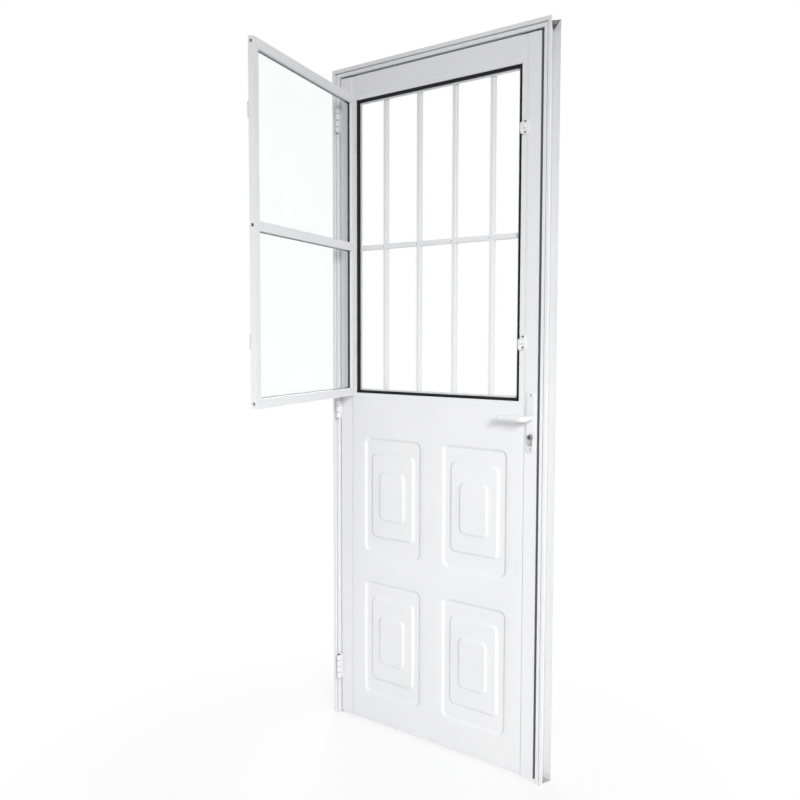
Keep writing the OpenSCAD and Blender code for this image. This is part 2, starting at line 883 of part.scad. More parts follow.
// Lever: a round neck through the backplate, and a bowed arm towards the hinges
module lever() {
    root = plate_t + lever_reach + lever_t / 2;
    tip = lever_l - lever_tip_r;
    hole = spindle_w / 2 + run_fit;
    color(white) translate([lock_x, leaf_setback, lever_z]) difference() {
        union() {
            translate([0, -root, 0]) rod_y(root - clear, neck_r);
            translate([0, -root - lever_t / 2, 0]) {
                hull() {
                    rod_y(lever_t, lever_r, $fn = 32);
                    translate([-tip / 2, 0, lever_bow]) rod_y(lever_t, lever_mid_r, $fn = 32);
                }
                hull() {
                    translate([-tip / 2, 0, lever_bow]) rod_y(lever_t, lever_mid_r, $fn = 32);
                    translate([-tip, 0, 0]) rod_y(lever_t, lever_tip_r, $fn = 32);
                }
            }
        }
        box([-hole, -plate_t - lever_reach * spindle_share - push_fit, -hole], [hole, over, hole]);
    }
}

module lever_inside() {
    lever();
}

module lever_outside() {
    street_side() lever();
}

// Places of the screws in the sash latches' bases
module latch_screw_places(zs) {
    for (z = zs, s = [-1, 1])
        translate([catch_x, leaf_setback - base_t, z + s * base_h * base_screw_share]) children();
}

// Base of a sash latch: an oval plate that fills the stile's band, with a bored post
module latch_base(z) {
    post = leaf_setback - base_t - catch_front - clear;
    color(white) difference() {
        union() {
            translate([catch_x, leaf_setback - base_t, z]) flat_oval(base_w, base_h, base_t + sheet_t);
            translate([catch_x, leaf_setback - base_t - post, z]) rod_y(post, post_r);
        }
        box([band_x - push_fit, leaf_setback, z - base_h], [band_x + base_w, band_y + over, z + base_h]);
        translate([catch_x, catch_front, z]) rod_y(post, catch_pin_r + run_fit);
        latch_screw_places([z]) translate([0, -over, 0]) rod_y(catch_screw_l, base_screw_r + push_fit);
        latch_screw_places([z]) translate([0, -over, 0]) rod_y(head_h + over, base_head_r + push_fit);
    }
}

module latch_base_upper() {
    latch_base(latch_top_z);
}

module latch_base_lower() {
    latch_base(latch_low_z);
}

module latch_base_screws() {
    color(steel) latch_screw_places(catch_zs) {
        rod_y(head_h, base_head_r);
        rod_y(catch_screw_l, base_screw_r);
    }
}

// Lever of a sash latch, hanging down, with its own pivot pin
module latch_lever(z) {
    pin = leaf_setback - base_t - catch_front - clear * 2;
    color(white) translate([catch_x, catch_front, z]) {
        translate([0, -catch_t, (catch_w - catch_l) / 2]) flat_oval(catch_w, catch_l + catch_w, catch_t);
        translate([0, -catch_t * 2, catch_w - catch_l]) flat_oval(catch_rib_w, catch_w, catch_t);
        rod_y(pin, catch_pin_r);
    }
}

module latch_lever_upper() {
    latch_lever(latch_top_z);
}

module latch_lever_lower() {
    latch_lever(latch_low_z);
}

// Turns the shut sash about its hinge to where it stands open
module sash_pose() {
    translate([sash_axis_x, sash_axis_y, 0]) rotate([0, 0, -sash_open])
        translate([-sash_axis_x, -sash_axis_y, 0]) children();
}

// The groove for a pane, along the inner edge of a sash member
module groove_section() {
    translate([-groove_d, glass_inset - glaze_t]) square([groove_d + over, glass_t + glaze_t * 2]);
}

// Section of a sash member: in from its outer edge, then from the street side to the room
module sash_section() {
    w = sash_wall;
    difference() {
        square([sash_face, sash_t]);
        translate([w, w]) square([sash_face - groove_d - w * 2, sash_t - w * 2]);
        translate([sash_face, 0]) groove_section();
    }
}

// Section of the sash's middle rail, with a groove on both edges
module sash_mid_section() {
    w = sash_wall;
    difference() {
        square([sash_face, sash_t]);
        translate([groove_d + w, w]) square([sash_face - groove_d * 2 - w * 2, sash_t - w * 2]);
        translate([sash_face, 0]) groove_section();
        mirror([1, 0]) groove_section();
    }
}

// A sash upright with its outer edge at x = 0
module sash_upright() {
    linear_extrude(sash_top - sash_low) mirror([0, 1]) sash_section();
}

// A sash rail along X, its section drawn up from z = 0
module sash_rail() {
    half = sash_x - sash_face;
    translate([-half, sash_back, 0]) rotate([90, 0, 90]) linear_extrude(half * 2) rotate(90) children();
}

module sash_hinge_stile() {
    color(white) sash_pose() translate([-sash_x, sash_back, sash_low]) sash_upright();
}

// Places of the screws that hold the rails, on the free edge of the sash
module rail_screw_places() {
    for (z = [sash_low + sash_face / 2, sash_mid, sash_top - sash_face / 2])
        translate([sash_x, sash_back - sash_t / 2, z]) mirror([1, 0, 0]) children();
}

module sash_free_stile() {
    color(white) sash_pose() difference() {
        translate([sash_x, sash_back, sash_low]) mirror([1, 0, 0]) sash_upright();
        rail_screw_places() translate([-over, 0, 0]) rod_x(sash_wall + over * 2, access_r);
        rail_screw_places() rod_x(sash_face + over, sash_screw_r + push_fit);
    }
}

module sash_top_rail() {
    color(white) sash_pose() translate([0, 0, sash_top]) sash_rail() mirror([1, 0]) sash_section();
}

module sash_mid_rail() {
    color(white) sash_pose() translate([0, 0, sash_mid - sash_face / 2]) sash_rail() sash_mid_section();
}

module sash_bottom_rail() {
    color(white) sash_pose() translate([0, 0, sash_low]) sash_rail() sash_section();
}

// A pane between two heights of the sash's clear opening
module pane(low, high) {
    half = sash_x - sash_face + pane_seat;
    box([-half, sash_back - glass_inset - glass_t, low - pane_seat],
        [half, sash_back - glass_inset, high + pane_seat]);
}

module glass_upper() {
    color(glass) sash_pose() pane(sash_mid + sash_face / 2, sash_top - sash_face);
}

module glass_lower() {
    color(glass) sash_pose() pane(sash_low + sash_face, sash_mid - sash_face / 2);
}

// Flat gasket rings on both sides of a pane
module glazing_rings(low, high) {
    half = sash_x - sash_face;
    lip = glaze_t * 2;
    for (y = [sash_back - glass_inset, sash_back - glass_inset - glass_t - glaze_t]) difference() {
        box([-half - pane_seat, y, low - pane_seat], [half + pane_seat, y + glaze_t, high + pane_seat]);
        box([-half + lip, y - over, low + lip], [half - lip, y + glaze_t + over, high - lip]);
    }
}

module glazing_gasket() {
    color(black) sash_pose() {
        glazing_rings(sash_mid + sash_face / 2, sash_top - sash_face);
        glazing_rings(sash_low + sash_face, sash_mid - sash_face / 2);
    }
}

// Places of the sash hinges, at the foot of the lower knuckle
module sash_hinge_places() {
    inset = (sash_top - sash_low) * sash_hinge_share;
    for (z = [sash_low + inset, sash_top - inset])
        translate([sash_axis_x, sash_axis_y, z - small_knuckle_h]) children();
}

// Brackets on the hinge stile that carry the sash: the lower knuckle and a foot on the band
module sash_hinge_brackets() {
    r = small_knuckle_r;
    foot = band_y - sash_axis_y;
    edge = -band_x - sash_axis_x + push_fit;
    color(offwhite) sash_hinge_places() difference() {
        union() {
            cylinder(h = small_knuckle_h, r = r);
            box([-r, 0, 0], [small_wing_t - r, foot, small_knuckle_h]);
            box([-r, r + clear, 0], [small_wing_t - r, foot, small_knuckle_h * 2]);
            box([edge, foot - small_wing_t, 0], [small_wing_t - r, foot, small_knuckle_h * 2]);
        }
        translate([0, 0, -over]) cylinder(h = small_knuckle_h + over * 2, r = small_pin_r + run_fit);
    }
}

// Wings on the sash: the upper knuckle and a plate on the sash's room side
module sash_hinge_wings() {
    low = small_knuckle_h + knuckle_gap;
    high = small_knuckle_h * 2;
    front = sash_front - sash_axis_y;
    edge = -sash_x - sash_axis_x;
    color(offwhite) sash_pose() sash_hinge_places() difference() {
        union() {
            translate([0, 0, low]) cylinder(h = high - low, r = small_knuckle_r);
            box([0, front - small_wing_t, low], [edge, front, high]);
            box([edge, front - small_wing_t, 0], [edge + small_wing_w, front, high]);
        }
        translate([0, 0, -over]) cylinder(h = high + over * 2, r = small_pin_r + run_fit);
    }
}

module sash_hinge_pins() {
    color(steel) sash_pose() sash_hinge_places() {
        cylinder(h = small_knuckle_h * 2 + clear, r = small_pin_r);
        translate([0, 0, small_knuckle_h * 2 + clear])
            cylinder(h = small_pin_r, r1 = small_head_r, r2 = small_pin_r);
    }
}

// Ramped keepers on the sash that its latches hold
module sash_keepers() {
    color(white) sash_pose() for (z = catch_zs)
        translate([sash_x - keeper_inset, sash_front, z]) linear_extrude(keeper_h, center = true)
            polygon([[0, 0], [-keeper_w, 0], [-keeper_w, -keeper_rise * ramp_share],
                [-keeper_w / 2, -keeper_rise], [0, -keeper_rise]]);
}

// Screws inside the free stile that pull the rails home
module sash_rail_screws() {
    seat = sash_face - groove_d - sash_wall;
    color(steel) sash_pose() rail_screw_places() {
        translate([seat - sash_head_h, 0, 0]) rod_x(sash_head_h, access_r - clear * 2);
        translate([seat, 0, 0]) rod_x(sash_screw_l, sash_screw_r);
    }
}

in_place() frame_head();
in_place() frame_hinge_jamb();
in_place() frame_lock_jamb();
in_place() frame_corner_cleats();
in_place() frame_seal();
in_place() strike_plate();
in_place() strike_screws();
in_place() hinge_frame_halves();
in_place() hinge_pins();
in_place() hinge_frame_screws();
in_place() hinge_leaf_halves();
in_place() hinge_leaf_screws();
in_place() leaf_hinge_stile();
in_place() leaf_lock_stile();
in_place() leaf_top_rail();
in_place() leaf_mid_rail();
in_place() leaf_bottom_rail();
in_place() panel_inside();
in_place() panel_outside();
in_place() surround_left();
in_place() surround_right();
in_place() surround_top();
in_place() surround_bottom();
in_place() window_gasket();
in_place() grille_bar(0);  // grille_bar_1
in_place() grille_bar(1);  // grille_bar_2
in_place() grille_bar(2);  // grille_bar_3
in_place() grille_bar(3);  // grille_bar_4
in_place() grille_cross_bar();
in_place() lock_case();
in_place() lock_faceplate();
in_place() key_cylinder();
in_place() backplate_inside();
in_place() backplate_outside();
in_place() backplate_screws();
in_place() latch_base_upper();
in_place() latch_base_lower();
in_place() latch_base_screws();
in_place() sash_hinge_brackets();
in_place() sash_hinge_stile();
in_place() sash_free_stile();
in_place() sash_top_rail();
in_place() sash_mid_rail();
in_place() sash_bottom_rail();
in_place() glass_upper();
in_place() glass_lower();
in_place() glazing_gasket();
in_place() sash_hinge_wings();
in_place() sash_hinge_pins();
in_place() sash_keepers();
in_place() sash_rail_screws();
in_place() lever_inside();
in_place() lever_outside();
in_place() spindle();
in_place() lock_follower();
in_place() latch_bolt();
in_place() dead_bolt();
in_place() key_plug();
in_place() latch_lever_upper();
in_place() latch_lever_lower();
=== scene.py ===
import json
import math

import bmesh
import bpy
import numpy as np
from mathutils import Matrix, Vector


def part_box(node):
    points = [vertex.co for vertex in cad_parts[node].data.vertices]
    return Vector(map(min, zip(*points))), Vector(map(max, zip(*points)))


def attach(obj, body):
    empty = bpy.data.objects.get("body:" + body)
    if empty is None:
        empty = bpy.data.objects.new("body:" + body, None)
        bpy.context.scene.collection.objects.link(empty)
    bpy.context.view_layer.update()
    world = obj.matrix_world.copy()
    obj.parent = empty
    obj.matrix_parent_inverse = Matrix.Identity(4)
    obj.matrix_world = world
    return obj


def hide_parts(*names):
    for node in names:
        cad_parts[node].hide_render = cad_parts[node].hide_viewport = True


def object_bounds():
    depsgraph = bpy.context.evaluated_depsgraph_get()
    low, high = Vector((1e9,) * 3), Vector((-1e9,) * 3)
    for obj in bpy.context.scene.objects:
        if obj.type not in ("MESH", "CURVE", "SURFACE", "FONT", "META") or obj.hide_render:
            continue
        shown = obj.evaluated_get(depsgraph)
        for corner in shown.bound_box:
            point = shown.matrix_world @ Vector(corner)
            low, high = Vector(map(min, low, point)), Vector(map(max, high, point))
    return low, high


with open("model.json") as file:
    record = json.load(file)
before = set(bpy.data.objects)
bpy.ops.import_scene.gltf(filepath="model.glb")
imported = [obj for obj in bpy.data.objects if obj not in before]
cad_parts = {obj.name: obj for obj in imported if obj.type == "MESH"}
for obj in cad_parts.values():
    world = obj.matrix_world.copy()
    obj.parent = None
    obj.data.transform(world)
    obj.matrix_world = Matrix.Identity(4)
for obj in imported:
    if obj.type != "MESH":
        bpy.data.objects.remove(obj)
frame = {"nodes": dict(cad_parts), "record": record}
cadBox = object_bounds()
mm = 0.001
scene = bpy.context.scene
bodyOf = {node: body for body, nodes in frame["record"]["behaviour"]["bodies"].items() for node in nodes}
slotOf = {entry["node"]: entry["material_slot"] for entry in frame["record"]["subparts"]}
print("frame loaded:", len(frame["nodes"]), "nodes")


# Camera, fitted on the corners of the frame and the window
view = {
    "focalPx": 897.3,
    "imagePx": 800,
    "sensor": 36.0,
    "place": (2.0114, -2.1474, 1.2505),
    "yaw": 39.53,  # degrees, to the left of straight at the door
    "pitch": -3.97,
    "roll": 0.12,
}


def placeCamera():
    yaw, pitch = math.radians(view["yaw"]), math.radians(view["pitch"])
    ahead = Vector((-math.sin(yaw) * math.cos(pitch), math.cos(yaw) * math.cos(pitch), math.sin(pitch)))
    level = Vector((math.cos(yaw), math.sin(yaw), 0))
    right = Matrix.Rotation(-math.radians(view["roll"]), 3, ahead) @ level
    turn = Matrix((right, right.cross(ahead), -ahead)).transposed()
    data = bpy.data.cameras.new("roomCamera")
    data.sensor_width = view["sensor"]
    data.lens = view["focalPx"] / view["imagePx"] * view["sensor"]
    camera = bpy.data.objects.new("roomCamera", data)
    camera.matrix_world = Matrix.Translation(view["place"]) @ turn.to_4x4()
    scene.collection.objects.link(camera)
    scene.camera = camera


placeCamera()
scene.view_settings.view_transform = "Standard"
print("camera placed")


# Material helpers
noiseSpan = (0.3, 0.7)  # where most of a noise lies
evenly = (1, 1, 1)
mixShare, mixFirst, mixSecond, mixResult = 0, 6, 7, 2  # colour sockets of a Mix node


def newMaterial(name):
    material = bpy.data.materials.new(name)
    material.use_nodes = True
    return material, material.node_tree, material.node_tree.nodes["Principled BSDF"]


def addNode(tree, kind, settings=None, **sockets):
    node = tree.nodes.new(kind)
    for key, value in (settings or {}).items():
        setattr(node, key, value)
    for key, value in sockets.items():
        node.inputs[key.replace("_", " ")].default_value = value
    return node


def stretchedNoise(tree, coords, stretch, scale, detail):
    mapping = addNode(tree, "ShaderNodeMapping", Scale=stretch)
    tree.links.new(coords.outputs["Object"], mapping.inputs["Vector"])
    noise = addNode(tree, "ShaderNodeTexNoise", Scale=scale, Detail=detail)
    tree.links.new(mapping.outputs["Vector"], noise.inputs["Vector"])
    return noise.outputs["Fac"]


def tintBetween(tree, fac, low, high):
    ramp = tree.nodes.new("ShaderNodeValToRGB")
    for stop, position, tint in zip(ramp.color_ramp.elements, noiseSpan, (low, high)):
        stop.position = position
        stop.color = (*tint, 1)
    tree.links.new(fac, ramp.inputs["Fac"])
    return ramp.outputs["Color"]


def spread(tree, fac, low, high):
    start, end = noiseSpan
    span = addNode(tree, "ShaderNodeMapRange", From_Min=start, From_Max=end, To_Min=low, To_Max=high)
    tree.links.new(fac, span.inputs["Value"])
    return span.outputs["Result"]


def bumpFrom(tree, fac, strength, depth, under=None):
    bump = addNode(tree, "ShaderNodeBump", Strength=strength, Distance=depth)
    tree.links.new(fac, bump.inputs["Height"])
    if under is not None:
        tree.links.new(under, bump.inputs["Normal"])
    return bump.outputs["Normal"]


# White powder coating on extruded aluminium: faint orange peel, and die lines along each length
coat = {
    "pale": (0.80, 0.80, 0.80),
    "dull": (0.765, 0.767, 0.775),
    "roughness": (0.34, 0.44),
    "specular": 0.45,
    "cloud": (2.4, 3.0),  # each noise: scale, then detail
    "smear": (14.0, 4.0),
    "peel": (900.0, 2.0),
    "peelBump": (0.25, 0.03 * mm),  # each bump: strength, then depth
    "dieLines": (420.0, 1.0),
    "dieStretch": 0.004,
    "dieBump": (0.2, 0.025 * mm),
    "fittingShade": 0.97,
}


def makeCoat(name, lengthAxis, shade=1.0):
    material, tree, shader = newMaterial(name)
    coords = tree.nodes.new("ShaderNodeTexCoord")
    cloud = stretchedNoise(tree, coords, evenly, *coat["cloud"])
    low = [value * shade for value in coat["dull"]]
    high = [value * shade for value in coat["pale"]]
    tree.links.new(tintBetween(tree, cloud, low, high), shader.inputs["Base Color"])
    smear = stretchedNoise(tree, coords, evenly, *coat["smear"])
    tree.links.new(spread(tree, smear, *coat["roughness"]), shader.inputs["Roughness"])
    peel = stretchedNoise(tree, coords, evenly, *coat["peel"])
    normal = bumpFrom(tree, peel, *coat["peelBump"])
    if lengthAxis is not None:
        stretch = [coat["dieStretch"] if axis == lengthAxis else 1.0 for axis in "XYZ"]
        lines = stretchedNoise(tree, coords, stretch, *coat["dieLines"])
        normal = bumpFrom(tree, lines, *coat["dieBump"], normal)
    tree.links.new(normal, shader.inputs["Normal"])
    shader.inputs["Specular IOR Level"].default_value = coat["specular"]
    return material


# Rubber strips
rubberTints = {
    "gasketRubber": {"deep": (0.003, 0.003, 0.004), "worn": (0.010, 0.010, 0.011)},
    "glazingRubber": {"deep": (0.010, 0.010, 0.011), "worn": (0.025, 0.025, 0.027)},
}
rubber = {
    "roughness": (0.5, 0.7),
    "specular": 0.2,
    "bloom": (60.0, 4.0),
    "grain": (1400.0, 2.0),
    "grainBump": (0.3, 0.04 * mm),
}


def makeRubber(name):
    tints = rubberTints[name]
    material, tree, shader = newMaterial(name)
    coords = tree.nodes.new("ShaderNodeTexCoord")
    bloom = stretchedNoise(tree, coords, evenly, *rubber["bloom"])
    tree.links.new(tintBetween(tree, bloom, tints["deep"], tints["worn"]), shader.inputs["Base Color"])
    tree.links.new(spread(tree, bloom, *rubber["roughness"]), shader.inputs["Roughness"])
    grain = stretchedNoise(tree, coords, evenly, *rubber["grain"])
    tree.links.new(bumpFrom(tree, grain, *rubber["grainBump"]), shader.inputs["Normal"])
    shader.inputs["Specular IOR Level"].default_value = rubber["specular"]
    return material


# Clear panes, with a low alpha so that the light passes
pane = {
    "clear": (0.93, 0.97, 0.96),
    "faint": (0.88, 0.94, 0.92),
    "roughness": (0.01, 0.03),
    "cover": (0.05, 0.08),
    "drift": (3.0, 3.0),
    "ior": 1.52,
}


def makeGlass():
    material, tree, shader = newMaterial("clearPane")
    coords = tree.nodes.new("ShaderNodeTexCoord")
    drift = stretchedNoise(tree, coords, evenly, *pane["drift"])
    tree.links.new(tintBetween(tree, drift, pane["faint"], pane["clear"]), shader.inputs["Base Color"])
    tree.links.new(spread(tree, drift, *pane["roughness"]), shader.inputs["Roughness"])
    tree.links.new(spread(tree, drift, *pane["cover"]), shader.inputs["Alpha"])
    shader.inputs["IOR"].default_value = pane["ior"]
    return material


# Bare metals with a fine drawn grain
metals = {
    "zincSteel": {
        "dark": (0.42, 0.43, 0.45), "light": (0.62, 0.63, 0.64), "roughness": (0.28, 0.46), "grain": 700.0,
    },
    "lockNickel": {
        "dark": (0.26, 0.255, 0.25), "light": (0.42, 0.41, 0.40), "roughness": (0.22, 0.36), "grain": 900.0,
    },
    "darkRivet": {
        "dark": (0.10, 0.10, 0.11), "light": (0.20, 0.20, 0.21), "roughness": (0.40, 0.60), "grain": 900.0,
    },
}
drawnGrain = {"cloud": (90.0, 4.0), "stretch": (1, 0.05, 1), "detail": 2.0, "bump": (0.2, 0.03 * mm)}


def makeMetal(name):
    values = metals[name]
    material, tree, shader = newMaterial(name)
    coords = tree.nodes.new("ShaderNodeTexCoord")
    cloud = stretchedNoise(tree, coords, evenly, *drawnGrain["cloud"])
    tree.links.new(tintBetween(tree, cloud, values["dark"], values["light"]), shader.inputs["Base Color"])
    tree.links.new(spread(tree, cloud, *values["roughness"]), shader.inputs["Roughness"])
    grain = stretchedNoise(tree, coords, drawnGrain["stretch"], values["grain"], drawnGrain["detail"])
    tree.links.new(bumpFrom(tree, grain, *drawnGrain["bump"]), shader.inputs["Normal"])
    shader.inputs["Metallic"].default_value = 1.0
    return material


coatUpright = makeCoat("coatUpright", "Z")
coatLevel = makeCoat("coatLevel", "X")
coatSheet = makeCoat("coatSheet", None)
coatFitting = makeCoat("coatFitting", None, coat["fittingShade"])
gasketRubber = makeRubber("gasketRubber")
glazingRubber = makeRubber("glazingRubber")
clearPane = makeGlass()
zincSteel = makeMetal("zincSteel")
lockNickel = makeMetal("lockNickel")
darkRivet = makeMetal("darkRivet")
print("materials made")


# Painted shade and light: painted shade on the sheets beside the stiles and on the leaf's closing edge, and
# painted light on the glazing strips away from the sash's hinges
# painted shade: a darker band on the panel sheet along each stile, standing in for the shadow in the seam
paintedSeamShade = {"clean": 2.4 * mm, "dusty": 0.8 * mm, "tint": (0.36, 0.36, 0.37)}
# painted shade: the lock stile's front edge is darkened to stand in for the shadow in the gap to the frame
paintedGapShade = {"clean": 5.6 * mm, "dark": 4.6 * mm, "depth": 3 * mm, "tint": (0.06, 0.06, 0.065)}
paintedStripLight = {"black": 25 * mm, "grey": 45 * mm, "tint": (0.40, 0.40, 0.41)}  # painted light: the strips away from the sash's hinges are greyed, as where light falls on them


def shareAlong(tree, axis, start, end):
    coords = tree.nodes.new("ShaderNodeTexCoord")
    axes = tree.nodes.new("ShaderNodeSeparateXYZ")
    share = addNode(tree, "ShaderNodeMapRange", From_Min=start, From_Max=end)
    tree.links.new(coords.outputs["Object"], axes.inputs["Vector"])
    tree.links.new(axes.outputs[axis], share.inputs["Value"])
    return share.outputs["Result"]


def blendTint(tree, share, tint):
    base = tree.nodes["Principled BSDF"].inputs["Base Color"]
    blend = addNode(tree, "ShaderNodeMix", {"data_type": "RGBA"})
    blend.inputs[mixSecond].default_value = (*tint, 1)
    tree.links.new(base.links[0].from_socket, blend.inputs[mixFirst])
    tree.links.new(share, blend.inputs[mixShare])
    tree.links.new(blend.outputs[mixResult], base)


# Paints shade into the sheet's colour along both upright edges, where the seam's shadow falls
def paintSeamShade(material, nodeName):
    low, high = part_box(nodeName)
    tree = material.node_tree
    for edge, inward in ((low.x, 1), (high.x, -1)):
        share = shareAlong(tree, "X", edge + inward * paintedSeamShade["clean"], edge + inward * paintedSeamShade["dusty"])
        blendTint(tree, share, paintedSeamShade["tint"])


# Paints the gap's shade into the stile's colour along its closing edge and front face
def paintGapShade(material, nodeName):
    low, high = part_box(nodeName)
    tree = material.node_tree
    nearEdge = shareAlong(tree, "X", high.x - paintedGapShade["clean"], high.x - paintedGapShade["dark"])
    nearFace = shareAlong(tree, "Y", low.y + paintedGapShade["depth"], low.y)
    both = addNode(tree, "ShaderNodeMath", {"operation": "MULTIPLY"})
    tree.links.new(nearEdge, both.inputs[0])
    tree.links.new(nearFace, both.inputs[1])
    blendTint(tree, both.outputs["Value"], paintedGapShade["tint"])


# Paints light into the glazing strips' colour away from the sash's hinges, where light falls
def paintStripLight(material, nodeName):
    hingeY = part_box(nodeName)[1].y
    tree = material.node_tree
    share = shareAlong(tree, "Y", hingeY - paintedStripLight["black"], hingeY - paintedStripLight["grey"])
    blendTint(tree, share, paintedStripLight["tint"])


# the lock stile's coat, which carries the painted gap shade
coatPaintedGapShade = makeCoat("coatPaintedGapShade", "Z")
# painted shade in the inner sheet's seams
paintSeamShade(coatSheet, "panel_inside")
# painted gap shade on the lock stile's closing edge
paintGapShade(coatPaintedGapShade, "leaf_lock_stile")
# painted light on the glazing strips away from the sash's hinges
paintStripLight(glazingRubber, "glazing_gasket")
print("paintedShadeAndLight added")


# Piece helpers
weld = 0.002 * mm  # joins points that lie on each other


def finishPiece(mesh, name, material, body, slot, *nodes):
    mesh.materials.clear()
    mesh.materials.append(material)
    piece = bpy.data.objects.new(name, mesh)
    scene.collection.objects.link(piece)
    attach(piece, body)
    if nodes:
        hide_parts(*nodes)
    return piece


def evaluatedMesh(piece):
    graph = bpy.context.evaluated_depsgraph_get()
    mesh = bpy.data.meshes.new_from_object(piece.evaluated_get(graph))
    bpy.data.objects.remove(piece)
    return mesh


def mergedCopy(nodeName):
    shape = bmesh.new()
    shape.from_mesh(frame["nodes"][nodeName].data)
    bmesh.ops.remove_doubles(shape, verts=shape.verts, dist=weld)
    return shape


def islandBoxes(nodeName):
    shape = mergedCopy(nodeName)
    boxes, seen = [], set()
    for start in shape.verts:
        if start in seen:
            continue
        group, queue = [], [start]
        seen.add(start)
        while queue:
            vert = queue.pop()
            group.append(vert.co.copy())
            for edge in vert.link_edges:
                other = edge.other_vert(vert)
                if other not in seen:
                    seen.add(other)
                    queue.append(other)
        points = np.array(group)
        boxes.append((Vector(points.min(0)), Vector(points.max(0))))
    shape.free()
    return boxes


# Members and fittings with softened edges, each in place of its own solid
softEdges = {  # rounding in mm, then finish
    "frame_head": (0.35, coatLevel),
    "frame_hinge_jamb": (0.35, coatUpright),
    "frame_lock_jamb": (0.35, coatUpright),
    "leaf_hinge_stile": (0.5, coatUpright),
    # the lock stile takes the coat with the painted gap shade
    "leaf_lock_stile": (0.5, coatPaintedGapShade),
    "leaf_top_rail": (0.5, coatLevel),
    "leaf_mid_rail": (0.5, coatLevel),
    "leaf_bottom_rail": (0.5, coatLevel),
    "surround_left": (0.3, coatUpright),
    "surround_right": (0.3, coatUpright),
    "surround_top": (0.3, coatLevel),
    "surround_bottom": (0.3, coatLevel),
    "grille_bar_1": (0.2, coatUpright),
    "grille_bar_2": (0.2, coatUpright),
    "grille_bar_3": (0.2, coatUpright),
    "grille_bar_4": (0.2, coatUpright),
    "grille_cross_bar": (0.2, coatLevel),
    "sash_hinge_stile": (0.5, coatUpright),
    "sash_free_stile": (0.5, coatUpright),
    "sash_top_rail": (0.4, coatLevel),
    "sash_mid_rail": (0.4, coatLevel),
    "sash_bottom_rail": (0.4, coatLevel),
    "backplate_inside": (0.9, coatFitting),
    "backplate_outside": (0.9, coatFitting),
    "latch_base_upper": (0.5, coatFitting),
    "latch_base_lower": (0.5, coatFitting),
    "latch_lever_upper": (0.5, coatFitting),
    "latch_lever_lower": (0.5, coatFitting),
    "hinge_frame_halves": (0.8, coatFitting),
    "hinge_leaf_halves": (0.8, coatFitting),
    "sash_hinge_brackets": (0.2, coatFitting),
    "sash_hinge_wings": (0.2, coatFitting),
    "sash_keepers": (0.4, coatFitting),
    "window_gasket": (0.6, gasketRubber),
    "lock_faceplate": (0.2, zincSteel),
    "strike_plate": (0.2, zincSteel),
    "key_cylinder": (0.35, lockNickel),
    # painted shade: the key plug takes the dark rivet finish to stand in for the shade in its keyway
    "key_plug": (0.3, darkRivet),
    "latch_bolt": (0.5, zincSteel),
    "dead_bolt": (0.5, zincSteel),
    "hinge_pins": (0.3, darkRivet),
    "sash_hinge_pins": (0.3, zincSteel),
}
softAngle = math.radians(35)  # sharper edges are rounded or kept sharp
softening = {
    "flatAngle": math.radians(0.4),  # flatter edges are left out
    "segments": 2,
    "flatWeight": 60,
    "mostCorners": 4,  # faces with more are cut into triangles
}


def pieceName(nodeName):
    first, *rest = nodeName.split("_")
    return first + "".join(word.capitalize() for word in rest)


def softenEdges(nodeName, width, material):
    shape = mergedCopy(nodeName)
    flat = softening["flatAngle"]
    bmesh.ops.dissolve_limit(shape, angle_limit=flat, verts=shape.verts, edges=shape.edges)
    mesh = bpy.data.meshes.new(pieceName(nodeName))
    shape.to_mesh(mesh)
    shape.free()
    for face in mesh.polygons:
        face.use_smooth = True
    piece = bpy.data.objects.new("softening", mesh)
    scene.collection.objects.link(piece)
    bevel = piece.modifiers.new("edge", "BEVEL")
    bevel.width = width * mm
    bevel.segments = softening["segments"]
    bevel.limit_method = "ANGLE"
    bevel.angle_limit = softAngle
    bevel.use_clamp_overlap = False
    normals = piece.modifiers.new("flats", "WEIGHTED_NORMAL")
    normals.weight = softening["flatWeight"]
    cuts = piece.modifiers.new("cuts", "TRIANGULATE")
    cuts.min_vertices = softening["mostCorners"] + 1
    cuts.keep_custom_normals = True
    softMesh = evaluatedMesh(piece)
    softMesh.name = pieceName(nodeName)
    finishPiece(softMesh, pieceName(nodeName), material, bodyOf[nodeName], slotOf[nodeName], nodeName)


for nodeName, (width, material) in softEdges.items():
    softenEdges(nodeName, width, material)
print("softened pieces:", len(softEdges))


# Solids that stay as they are, with their finish
plainFinish = {
    "frame_corner_cleats": coatFitting,
    "frame_seal": gasketRubber,
    "glazing_gasket": glazingRubber,
    "glass_upper": clearPane,
    "glass_lower": clearPane,
    "lock_case": zincSteel,
    "spindle": zincSteel,
    "lock_follower": zincSteel,
    "sash_rail_screws": darkRivet,
}


def giveFinish(nodeName, material):
    node = frame["nodes"][nodeName]
    for place in node.material_slots:
        place.material = material


for nodeName, material in plainFinish.items():
    giveFinish(nodeName, material)
print("finished solids:", len(plainFinish))


# Pressed sheets: the level at each point follows the distance to the fields' rounded outlines
press = {
    "fieldSize": (228 * mm, 370 * mm),
    "pitch": (310 * mm, 464 * mm),
    "lowFieldZ": 286 * mm,
    "middleX": 375.8 * mm,
    "ring": (35 * mm, 57 * mm),
    "ringDepth": 5 * mm,
    "blockRise": 4 * mm,
    "slope": 9 * mm,
    "cornerRadius": 12 * mm,
    "thickness": 1.5 * mm,
    "edgeRoll": (2.6 * mm, 1.2 * mm),  # width, then drop
    "rollShares": (0, 0.3, 0.65, 1),
    "slopeSteps": 7,
    "cornerSteps": 5,
    "cornerStretch": 1.7,
    "widest": 26 * mm,  # between two lines of the grid
    "narrowest": 0.2 * mm,
    "slack": 0.01 * mm,
    "decimals": 6,
}


